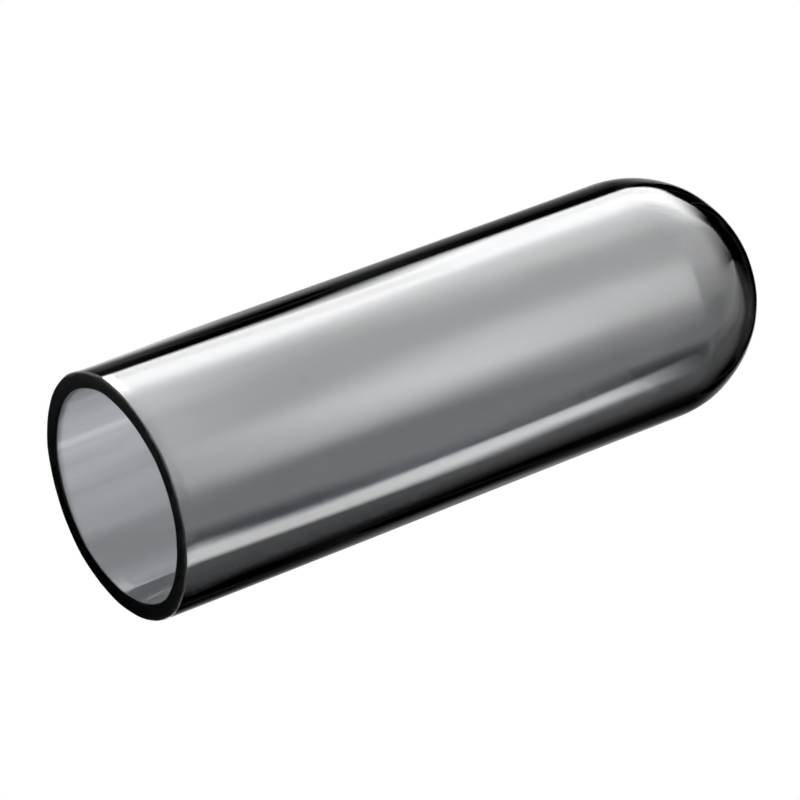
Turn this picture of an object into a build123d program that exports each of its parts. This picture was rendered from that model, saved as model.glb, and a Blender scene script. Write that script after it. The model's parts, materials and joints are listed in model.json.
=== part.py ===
"""Closed-end glass tube: a straight round tube with one open end and one blown, rounded end.

One piece of glass. The tube is drawn to its diameter and wall, cut square at the mouth and
fire-polished there, and its other end is closed in the flame and blown to a half ball. The
crown of a blown end is a little heavier than the wall, because the glass gathers there, so
the hollow's own half ball sits slightly lower than the outside one.

Frame, in millimetres: the tube stands on its mouth. The origin is the centre of the mouth's
flat rim, and +Z runs up the axis to the crown of the closed end.
"""

import os

from build123d import *

# Driving sizes
OUTSIDE_DIAMETER = 50.0  # of the straight tube and of the rounded end
WALL = 3.5  # of the straight tube
OVERALL_LENGTH = 147.5  # mouth to crown, outside
CROWN_WALL = 4.0  # on the axis, at the tip of the rounded end
OUTER_POLISH_RADIUS = 0.4  # of the mouth's outside edge, softened in the flame
INNER_POLISH_RADIUS = 0.5  # of the mouth's inside edge, which the flame softens more

# What follows from them
OUTSIDE_RADIUS = OUTSIDE_DIAMETER / 2
BORE_RADIUS = OUTSIDE_RADIUS - WALL
OUTSIDE_SHOULDER = OVERALL_LENGTH - OUTSIDE_RADIUS  # where the outside starts to close in
INSIDE_CROWN = OVERALL_LENGTH - CROWN_WALL
INSIDE_SHOULDER = INSIDE_CROWN - BORE_RADIUS  # where the hollow starts to close in


def rim_corners(section):
    """The section's lowest corners, on the mouth's flat rim, from the bore outwards."""
    return section.vertices().group_by(Axis.Y)[0].sort_by(Axis.X)


def wall_section():
    """Half of the tube's lengthwise section, in the XZ plane, on the +X side of the axis.

    Both faces of the wall run straight and then into a quarter circle without a corner. The
    mouth is square to the axis, and its two corners are rounded after the outline is closed.
    """
    with BuildSketch(Plane.XZ) as section:
        with BuildLine():
            Line((BORE_RADIUS, 0), (OUTSIDE_RADIUS, 0))
            Line((OUTSIDE_RADIUS, 0), (OUTSIDE_RADIUS, OUTSIDE_SHOULDER))
            CenterArc((0, OUTSIDE_SHOULDER), OUTSIDE_RADIUS, 0, 90)
            Line((0, OVERALL_LENGTH), (0, INSIDE_CROWN))
            CenterArc((0, INSIDE_SHOULDER), BORE_RADIUS, 0, 90)
            Line((BORE_RADIUS, INSIDE_SHOULDER), (BORE_RADIUS, 0))
        make_face()
        fillet(rim_corners(section)[-1], radius=OUTER_POLISH_RADIUS)
        fillet(rim_corners(section)[0], radius=INNER_POLISH_RADIUS)
    return section.sketch


def glass_tube():
    """The whole tube: its section turned once about the axis."""
    tube = revolve(wall_section(), axis=Axis.Z, revolution_arc=360)
    tube.label = "glass_tube"
    return tube


os.makedirs("parts", exist_ok=True)
export_step(glass_tube(), "parts/glass_tube.step")
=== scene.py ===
"""Closed-end glass tube, standing on its mouth in a white studio.

The tube is one piece of smoke-grey glass. Its surface is a profile turned about the Z axis,
worked out with numpy from the sizes of the loaded frame. The studio is a pale floor under a
dome of soft boxes, and the camera looks up into the open mouth from below the floor.
"""

import json
import logging
import math
from dataclasses import dataclass, field

import bpy
import numpy as np
from mathutils import Matrix, Vector


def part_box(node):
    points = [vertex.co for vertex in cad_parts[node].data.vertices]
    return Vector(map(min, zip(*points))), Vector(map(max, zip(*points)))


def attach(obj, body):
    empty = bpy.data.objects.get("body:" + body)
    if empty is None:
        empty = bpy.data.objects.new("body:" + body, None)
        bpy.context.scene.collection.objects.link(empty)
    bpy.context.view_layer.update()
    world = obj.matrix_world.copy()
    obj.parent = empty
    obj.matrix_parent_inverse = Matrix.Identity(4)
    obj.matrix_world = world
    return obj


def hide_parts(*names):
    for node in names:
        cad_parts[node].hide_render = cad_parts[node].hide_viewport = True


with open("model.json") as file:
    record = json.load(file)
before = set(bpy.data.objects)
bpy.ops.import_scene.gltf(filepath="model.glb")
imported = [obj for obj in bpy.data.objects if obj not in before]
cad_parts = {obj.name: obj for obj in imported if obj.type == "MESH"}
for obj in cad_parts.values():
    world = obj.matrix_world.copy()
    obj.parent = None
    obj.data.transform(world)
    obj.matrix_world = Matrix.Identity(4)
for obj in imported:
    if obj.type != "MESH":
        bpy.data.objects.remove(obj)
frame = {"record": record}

log = logging.getLogger("glass_tube")

NODE = "glass_tube"
MM = 0.001
HALF_TURN_DEG = 180.0


def linear(hex_colour: str) -> tuple[float, float, float, float]:
    """Turns an sRGB hex colour into the linear RGBA that a shader socket takes.

    Args:
        hex_colour: Six hex digits with a leading #.

    Returns:
        Linear red, green and blue with an alpha of 1.
    """
    srgb = np.array([int(hex_colour[i : i + 2], 16) for i in (1, 3, 5)]) / 255
    rgb = np.where(srgb <= 0.04045, srgb / 12.92, ((srgb + 0.055) / 1.055) ** 2.4)
    return (*(float(c) for c in rgb), 1.0)


def add_node(tree: bpy.types.NodeTree, kind: str, links: dict | None = None, **settings) -> bpy.types.Node:
    """Adds one node, sets it up and links its inputs.

    Args:
        tree: The node tree that the node goes into.
        kind: The node's type name, such as ShaderNodeMath.
        links: Input name or index to an output socket, or to a constant value.
        settings: Properties of the node itself, such as operation.

    Returns:
        The new node.
    """
    node = tree.nodes.new(kind)
    for name, value in settings.items():
        setattr(node, name, value)
    for key, value in (links or {}).items():
        if isinstance(value, bpy.types.NodeSocket):
            tree.links.new(value, node.inputs[key])
        else:
            node.inputs[key].default_value = value
    return node


def turned_mesh(
    name: str, rings: np.ndarray, first_pole: np.ndarray, last_pole: np.ndarray
) -> bpy.types.Mesh:
    """Makes a closed mesh from a grid of rings and one pole at each end.

    Row i of the grid is joined to row i + 1 by quads, column j to column j + 1 round the
    axis, and each pole to the ring next to it by triangles. Rows run from the first pole to
    the last, and columns run anticlockwise seen from +Z, so that faces point outwards when
    the outer skin runs downwards.

    Args:
        name: Name of the mesh.
        rings: Points, shape (rows, columns, 3).
        first_pole: The point before the first row.
        last_pole: The point after the last row.

    Returns:
        The mesh, smooth shaded.
    """
    rows, columns = rings.shape[:2]
    points = np.vstack([rings.reshape(-1, 3), first_pole, last_pole])
    first, last = rows * columns, rows * columns + 1
    index = np.arange(rows * columns).reshape(rows, columns)
    nearer, further = index[:-1], index[1:]
    quads = np.stack(
        [nearer, further, np.roll(further, -1, axis=1), np.roll(nearer, -1, axis=1)], axis=-1
    ).reshape(-1, 4)
    start, end = index[0], index[-1]
    fan_in = np.stack([np.full(columns, first), start, np.roll(start, -1)], axis=-1)
    fan_out = np.stack([np.full(columns, last), np.roll(end, -1), end], axis=-1)
    mesh = bpy.data.meshes.new(name)
    mesh.from_pydata(points.tolist(), [], fan_in.tolist() + quads.tolist() + fan_out.tolist())
    mesh.polygons.foreach_set("use_smooth", np.ones(len(mesh.polygons), bool))
    mesh.update()
    return mesh


@dataclass(frozen=True)
class SmokeGreyGlass:
    """Smoke-grey glass, drawn into tube and fire-polished.

    The melt is tinted right through, so a wall looks darker the further light travels in it:
    mid grey face on, and black along the rim, where light runs down the wall. Drawing leaves
    faint striae along the tube, and the flame leaves the skin almost perfectly smooth.

    The index is above borosilicate's 1.47. It isn't a measure of the glass: with 1.47 the
    reflections come out grainy at the full count of samples, and with this they don't.
    """

    ior: float = 1.55
    body_colour: str = "#FCFDFF"
    tint_colour: str = "#BFC1C3"
    absorption_per_mm: float = 0.7
    roughness_low: float = 0.0
    roughness_high: float = 0.01
    striae_width_mm: float = 3.0
    striae_length_mm: float = 90.0
    striae_height_mm: float = 0.012
    striae_detail: float = 2.0
    haze_patch_mm: float = 28.0
    haze_detail: float = 3.0
    haze_starts: float = 0.45
    haze_full: float = 0.7

    def material(self) -> bpy.types.Material:
        """Builds the glass.

        Returns:
            The material, with the tint as absorption inside and striae as bump.
        """
        glass = bpy.data.materials.new("smoke_grey_glass")
        glass.use_nodes = True
        tree = glass.node_tree
        tree.nodes.clear()
        place = add_node(tree, "ShaderNodeTexCoord").outputs["Object"]
        across, along = 1 / (self.striae_width_mm * MM), 1 / (self.striae_length_mm * MM)
        stretched = add_node(tree, "ShaderNodeMapping", {0: place, "Scale": (across, across, along)})
        striae = add_node(
            tree, "ShaderNodeTexNoise",
            {"Vector": stretched.outputs[0], "Scale": 1.0, "Detail": self.striae_detail},
        )
        patches = add_node(
            tree, "ShaderNodeTexNoise",
            {"Vector": place, "Scale": 1 / (self.haze_patch_mm * MM), "Detail": self.haze_detail},
        )
        haze = add_node(
            tree, "ShaderNodeMapRange",
            {"Value": patches.outputs[0], "From Min": self.haze_starts, "From Max": self.haze_full,
             "To Min": self.roughness_low, "To Max": self.roughness_high},
        )
        bump = add_node(
            tree, "ShaderNodeBump",
            {"Height": striae.outputs[0], "Strength": 1.0, "Distance": self.striae_height_mm * MM},
        )
        surface = add_node(
            tree, "ShaderNodeBsdfPrincipled",
            {"Base Color": linear(self.body_colour), "Roughness": haze.outputs[0], "IOR": self.ior,
             "Transmission Weight": 1.0, "Normal": bump.outputs[0]},
        )
        inside = add_node(
            tree, "ShaderNodeVolumeAbsorption",
            {"Color": linear(self.tint_colour), "Density": self.absorption_per_mm / MM},
        )
        add_node(
            tree, "ShaderNodeOutputMaterial",
            {"Surface": surface.outputs[0], "Volume": inside.outputs[0]},
        )
        return glass


@dataclass(frozen=True)
class DrawnWaves:
    """How far a drawn tube wanders from a true cylinder.

    A wave is a whole number of lobes round the tube, which drift round as they run along it.
    Both skins wander together, because drawing keeps the wall's thickness even.
    """

    height_mm: float = 0.45
    lobes: tuple[int, ...] = (4, 5, 8, 13, 21)
    turns_per_m: tuple[float, ...] = (5.2, 3.3, -7.1, 6.4, -9.0)
    seed: float = 0.2

    def offset(self, angle: np.ndarray, height: np.ndarray) -> np.ndarray:
        """Radial offset: the sum over lobes k of cos(k * angle + drift * height + phase) / k.

        Args:
            angle: Angle round the axis, in radians.
            height: Height along the axis, in metres.

        Returns:
            Metres outwards, of the arguments' common shape.
        """
        total = np.zeros(np.broadcast(angle, height).shape)
        for place, (lobe, turn) in enumerate(zip(self.lobes, self.turns_per_m)):
            phase = self.seed * (place + 1) ** 2
            total = total + np.cos(lobe * angle + 2 * math.pi * turn * height + phase) / lobe
        return total * self.height_mm * MM


@dataclass
class GlassTube:
    """The tube: a straight wall, an open polished mouth and a closed half-ball end.

    Sizes are in metres. The frame's box gives the length, and the bore and outside mounts give
    the two radii. The crown's wall and the two polish radii are the tube's own stated sizes.
    """

    length: float
    outside_radius: float
    bore_radius: float
    crown_wall: float = 4.0 * MM
    outer_polish: float = 0.4 * MM
    inner_polish: float = 0.5 * MM
    columns: int = 336
    dome_rows: int = 73
    bowl_rows: int = 65
    wall_rows: int = 50
    lip_rows: int = 13
    rim_rows: int = 6
    waves: DrawnWaves = field(default_factory=DrawnWaves)
    finish: SmokeGreyGlass = field(default_factory=SmokeGreyGlass)

    @classmethod
    def from_frame(cls, record: dict) -> "GlassTube":
        """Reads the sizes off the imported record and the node's box.

        Args:
            record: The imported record.

        Returns:
            A tube of those sizes.
        """
        low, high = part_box(NODE)
        mounts = {mount["name"]: mount for mount in record["mounts"]}
        return cls(
            length=high.z - low.z,
            outside_radius=mounts["outside"]["dims"]["r_mm"] * MM,
            bore_radius=mounts["bore"]["dims"]["r_mm"] * MM,
        )

    def profile(self) -> tuple[np.ndarray, np.ndarray]:
        """Half of the lengthwise section, from the outer crown round the mouth to the inner one.

        The outer skin is a quarter circle of the outside radius, then a straight line. The
        mouth is a quarter circle, a flat and a quarter circle. The inner skin is a straight
        line and a quarter circle of the bore's radius, one crown's thickness below the top.

        Returns:
            Radii and heights.
        """
        shoulder = self.length - self.outside_radius
        inner_shoulder = self.length - self.crown_wall - self.bore_radius
        crown = np.linspace(math.pi / 2, 0, self.dome_rows)[1:]
        outer_dome = (self.outside_radius * np.cos(crown), shoulder + self.outside_radius * np.sin(crown))
        fall = np.linspace(shoulder, self.outer_polish, self.wall_rows)[1:]
        outer_wall = (np.full(fall.shape, self.outside_radius), fall)
        lip = np.linspace(0, math.pi / 2, self.lip_rows)[1:]
        outer_lip = (
            self.outside_radius - self.outer_polish * (1 - np.cos(lip)),
            self.outer_polish * (1 - np.sin(lip)),
        )
        flat = np.linspace(
            self.outside_radius - self.outer_polish, self.bore_radius + self.inner_polish, self.rim_rows
        )[1:]
        rim = (flat, np.zeros(flat.shape))
        inner_lip = (
            self.bore_radius + self.inner_polish * (1 - np.sin(lip)),
            self.inner_polish * (1 - np.cos(lip)),
        )
        rise = np.linspace(self.inner_polish, inner_shoulder, self.wall_rows)[1:]
        inner_wall = (np.full(rise.shape, self.bore_radius), rise)
        bowl = np.linspace(0, math.pi / 2, self.bowl_rows)[1:-1]
        inner_dome = (self.bore_radius * np.cos(bowl), inner_shoulder + self.bore_radius * np.sin(bowl))
        parts = (outer_dome, outer_wall, outer_lip, rim, inner_lip, inner_wall, inner_dome)
        radii, heights = (np.concatenate([part[axis] for part in parts]) for axis in (0, 1))
        return radii, heights

    def mesh(self) -> bpy.types.Mesh:
        """Turns the profile about the axis and adds the waves of drawing.

        A point is (r cos a, r sin a, h), where r is the profile's radius plus the waves, which
        fade with the radius towards each crown so that the poles stay smooth.

        Returns:
            The closed mesh of the whole tube.
        """
        radii, heights = self.profile()
        angle = np.linspace(0, 2 * math.pi, self.columns, endpoint=False)[None, :]
        height, radius = heights[:, None], radii[:, None]
        fade = np.clip(radius / self.bore_radius, 0, 1) ** 2
        radius = radius + fade * self.waves.offset(angle, height)
        tall = np.broadcast_to(height, radius.shape)
        rings = np.stack([radius * np.cos(angle), radius * np.sin(angle), tall], axis=-1)
        crown = np.array([[0, 0, self.length]])
        bowl = np.array([[0, 0, self.length - self.crown_wall]])
        return turned_mesh(NODE + "_skin", rings, crown, bowl)

    def build(self) -> bpy.types.Object:
        """Makes the piece, dresses it and lets it stand for the frame's node.

        Returns:
            The finished object, at the origin.
        """
        mesh = self.mesh()
        mesh.materials.append(self.finish.material())
        tube = bpy.data.objects.new("tube", mesh)
        bpy.context.scene.collection.objects.link(tube)
        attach(tube, "root")
        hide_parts(NODE)
        log.info("tube: %d faces, %.1f mm long", len(mesh.polygons), self.length / MM)
        return tube


@dataclass(frozen=True)
class SoftBox:
    """One soft box on the studio dome, with edges that fade.

    Azimuths are degrees round the tube from the camera's side, positive towards -X, and
    elevations are degrees above the floor. Light is at half its power at each of them, and
    sides and ends are how many degrees each fade takes. power is radiance over the backdrop's.
    """

    name: str
    azimuths: tuple[float, float]
    sides: tuple[float, float]
    elevations: tuple[float, float]
    ends: tuple[float, float]
    power: float


@dataclass
class Studio:
    """A pale floor and a dome of soft boxes, with a white backdrop for the camera.

    The boxes are not a plain studio's. Their angles and powers were fitted, then rounded and
    changed, so that their reflections lay light and dark bands along the tube in the main view.
    The four uprights were set one by one and give the other views their reflections.
    """

    floor_colour: str = "#C9C9C9"
    floor_radius: float = 90 * MM
    floor_sides: int = 128
    floor_drop: float = 0.05 * MM
    backdrop_colour: str = "#FFFFFF"
    far_side_deg: float = 135.0
    boxes: tuple[SoftBox, ...] = (
        SoftBox("surround", (-190, 190), (4, 4), (-95, 17), (2, 4), 1.35),
        SoftBox("backdrop", (150, 200), (34, 49), (19, 43), (4, 1), 0.5),
        SoftBox("broad", (-10, 92), (47, 16), (19, 70), (4, 39), 5.4),
        SoftBox("broad_end", (92, 120), (16, 9), (19, 55.5), (4, 22), 8.1),
        SoftBox("centre_band", (-22, 16), (35, 45), (27.4, 32), (6, 12), 6.4),
        SoftBox("high_glow", (74.5, 104), (43, 21), (19, 61), (4, 22), 3.2),
        SoftBox("low_strip", (-86.6, -72.0), (9.5, 6), (19, 31), (4, 1.5), 7.1),
        SoftBox("low_fill", (-61, -10), (18, 32), (19, 32), (4, 3), 1.9),
        SoftBox("high_fill", (-65, -10), (38, 32), (32, 94), (3, 20), 1.9),
        SoftBox("low_tail", (-105, -76), (38, 10), (19, 32), (4, 3), 0.7),
        SoftBox("high_tail", (-105, -65), (38, 17), (32, 94), (3, 3), 0.7),
        SoftBox("crown", (-158, 101), (36, 28), (56, 95), (23, 4), 0.16),
        SoftBox("mouth_glow", (161, 179.5), (35, 7), (19, 26.5), (4, 2), 1.1),
        SoftBox("mouth_glint", (95, 116), (40, 6), (19, 25.3), (4, 0.5), 7.5),
        SoftBox("left_upright", (48, 72), (16, 16), (-60, 13), (4, 10), 4.0),
        SoftBox("middle_upright", (-30, -10), (16, 16), (-60, 13), (4, 10), 4.0),
        SoftBox("right_upright", (-88, -72), (16, 16), (-60, 13), (4, 10), 4.0),
        SoftBox("far_upright", (-160, -140), (16, 16), (-60, 13), (4, 10), 4.0),
    )

    def floor(self) -> bpy.types.Object:
        """Lays the round floor: pale from above, and clear from below so that it hides nothing."""
        angle = np.linspace(0, 2 * math.pi, self.floor_sides, endpoint=False)
        edge = np.stack(
            [self.floor_radius * np.cos(angle), self.floor_radius * np.sin(angle),
             np.full(angle.shape, -self.floor_drop)],
            axis=-1,
        )
        mesh = bpy.data.meshes.new("floor")
        mesh.from_pydata(edge.tolist(), [], [tuple(range(self.floor_sides))])
        paint = bpy.data.materials.new("matt_floor")
        paint.use_nodes = True
        tree = paint.node_tree
        tree.nodes.clear()
        matt = add_node(tree, "ShaderNodeBsdfDiffuse", {"Color": linear(self.floor_colour)})
        clear = add_node(tree, "ShaderNodeBsdfTransparent")
        under = add_node(tree, "ShaderNodeNewGeometry").outputs["Backfacing"]
        both = add_node(tree, "ShaderNodeMixShader", {0: under, 1: matt.outputs[0], 2: clear.outputs[0]})
        add_node(tree, "ShaderNodeOutputMaterial", {"Surface": both.outputs[0]})
        mesh.materials.append(paint)
        floor = bpy.data.objects.new("floor", mesh)
        bpy.context.scene.collection.objects.link(floor)
        return floor

    def box_light(
        self, tree: bpy.types.NodeTree, box: SoftBox,
        azimuths: tuple[bpy.types.NodeSocket, bpy.types.NodeSocket], elevation: bpy.types.NodeSocket,
    ) -> bpy.types.NodeSocket:
        """Adds one soft box to the dome.

        Its light is power * rise * fall over azimuth * rise * fall over elevation, where each
        factor goes smoothly from 0 to 1 across an edge, and each edge scales what came before.

        Args:
            tree: The world's node tree.
            box: The soft box.
            azimuths: Azimuth from the camera's side and azimuth from the far side, in radians.
            elevation: Elevation, in radians.

        Returns:
            The socket of its radiance.
        """
        near, far = azimuths
        azimuth, (low, high) = near, box.azimuths
        if low > self.far_side_deg:
            azimuth, low, high = far, low - HALF_TURN_DEG, high - HALF_TURN_DEG
        light = box.power
        spans = ((azimuth, (low, high), box.sides), (elevation, box.elevations, box.ends))
        for angle, (start, stop), (rise, fall) in spans:
            edges = ((start - rise / 2, start + rise / 2), (stop + fall / 2, stop - fall / 2))
            for outside, inside in edges:
                light = add_node(
                    tree, "ShaderNodeMapRange",
                    {"Value": angle, "From Min": math.radians(outside),
                     "From Max": math.radians(inside), "To Max": light},
                    interpolation_type="SMOOTHSTEP",
                ).outputs[0]
        return light

    def dome(self) -> bpy.types.World:
        """Builds the dome. The camera itself sees only the plain white backdrop.

        Returns:
            The world, set on the scene.
        """
        world = bpy.data.worlds.new("studio_dome")
        world.use_nodes = True
        tree = world.node_tree
        tree.nodes.clear()
        way = add_node(tree, "ShaderNodeTexCoord").outputs["Generated"]
        back = add_node(tree, "ShaderNodeVectorMath", {0: way, "Scale": -1.0}, operation="SCALE").outputs[0]
        azimuths = []
        for direction in (back, way):
            x, y, z = add_node(tree, "ShaderNodeSeparateXYZ", {0: direction}).outputs
            azimuths.append(add_node(tree, "ShaderNodeMath", {0: x, 1: y}, operation="ARCTAN2").outputs[0])
        elevation = add_node(tree, "ShaderNodeMath", {0: z}, operation="ARCSINE").outputs[0]
        light = 0.0
        for box in self.boxes:
            added = self.box_light(tree, box, tuple(azimuths), elevation)
            light = add_node(tree, "ShaderNodeMath", {0: light, 1: added}, operation="ADD").outputs[0]
        white = linear(self.backdrop_colour)
        boxes = add_node(tree, "ShaderNodeBackground", {"Color": white, "Strength": light})
        plain = add_node(tree, "ShaderNodeBackground", {"Color": white})
        seen = add_node(tree, "ShaderNodeLightPath").outputs["Is Camera Ray"]
        sky = add_node(tree, "ShaderNodeMixShader", {0: seen, 1: boxes.outputs[0], 2: plain.outputs[0]})
        add_node(tree, "ShaderNodeOutputWorld", {"Surface": sky.outputs[0]})
        bpy.context.scene.world = world
        return world

    def build(self) -> None:
        """Lays the floor, lights the dome and shows colours without a film curve."""
        self.floor()
        self.dome()
        bpy.context.scene.view_settings.view_transform = "Standard"
        log.info("studio: floor and %d soft boxes", len(self.boxes))


@dataclass(frozen=True)
class LongLens:
    """The camera: a long lens that looks up into the mouth from below the floor.

    The camera stands on the -Y side. below is how far under the horizontal it stands, lean is
    how far the tube's axis rises to the right in the picture, and aside is where the tube's
    middle lies right of and above the picture's centre.
    """

    below_deg: float = 28.51
    lean_deg: float = 20.66
    distance: float = 1.03815
    aside: tuple[float, float] = (6.55 * MM, 4.45 * MM)
    focal_mm: float = 237.77
    sensor_mm: float = 36.0

    def build(self, middle: Vector) -> bpy.types.Object:
        """Places the camera.

        Args:
            middle: The tube's middle.

        Returns:
            The scene's camera.
        """
        below, lean = math.radians(self.below_deg), math.radians(self.lean_deg)
        back = Vector((0, -math.cos(below), -math.sin(below)))
        rise = Vector((0, -math.sin(below), math.cos(below)))
        across = back.cross(rise)
        right = rise * math.cos(lean) - across * math.sin(lean)
        up = rise * math.sin(lean) + across * math.cos(lean)
        data = bpy.data.cameras.new("long_lens")
        data.sensor_width, data.lens = self.sensor_mm, self.focal_mm
        camera = bpy.data.objects.new("long_lens", data)
        turn = Matrix((right, up, back)).transposed().to_4x4()
        place = middle - right * self.aside[0] - up * self.aside[1] + back * self.distance
        camera.matrix_world = Matrix.Translation(place) @ turn
        bpy.context.scene.collection.objects.link(camera)
        bpy.context.scene.camera = camera
        return camera


def main() -> None:
    """Builds the tube, the studio and the camera, and notes the object's size."""
    logging.basicConfig(level=logging.INFO, format="%(name)s %(message)s")
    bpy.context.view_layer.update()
    tube = GlassTube.from_frame(frame["record"])
    tube.build()
    Studio().build()
    LongLens().build(Vector((0, 0, tube.length / 2)))


if __name__ == "__main__":
    main()
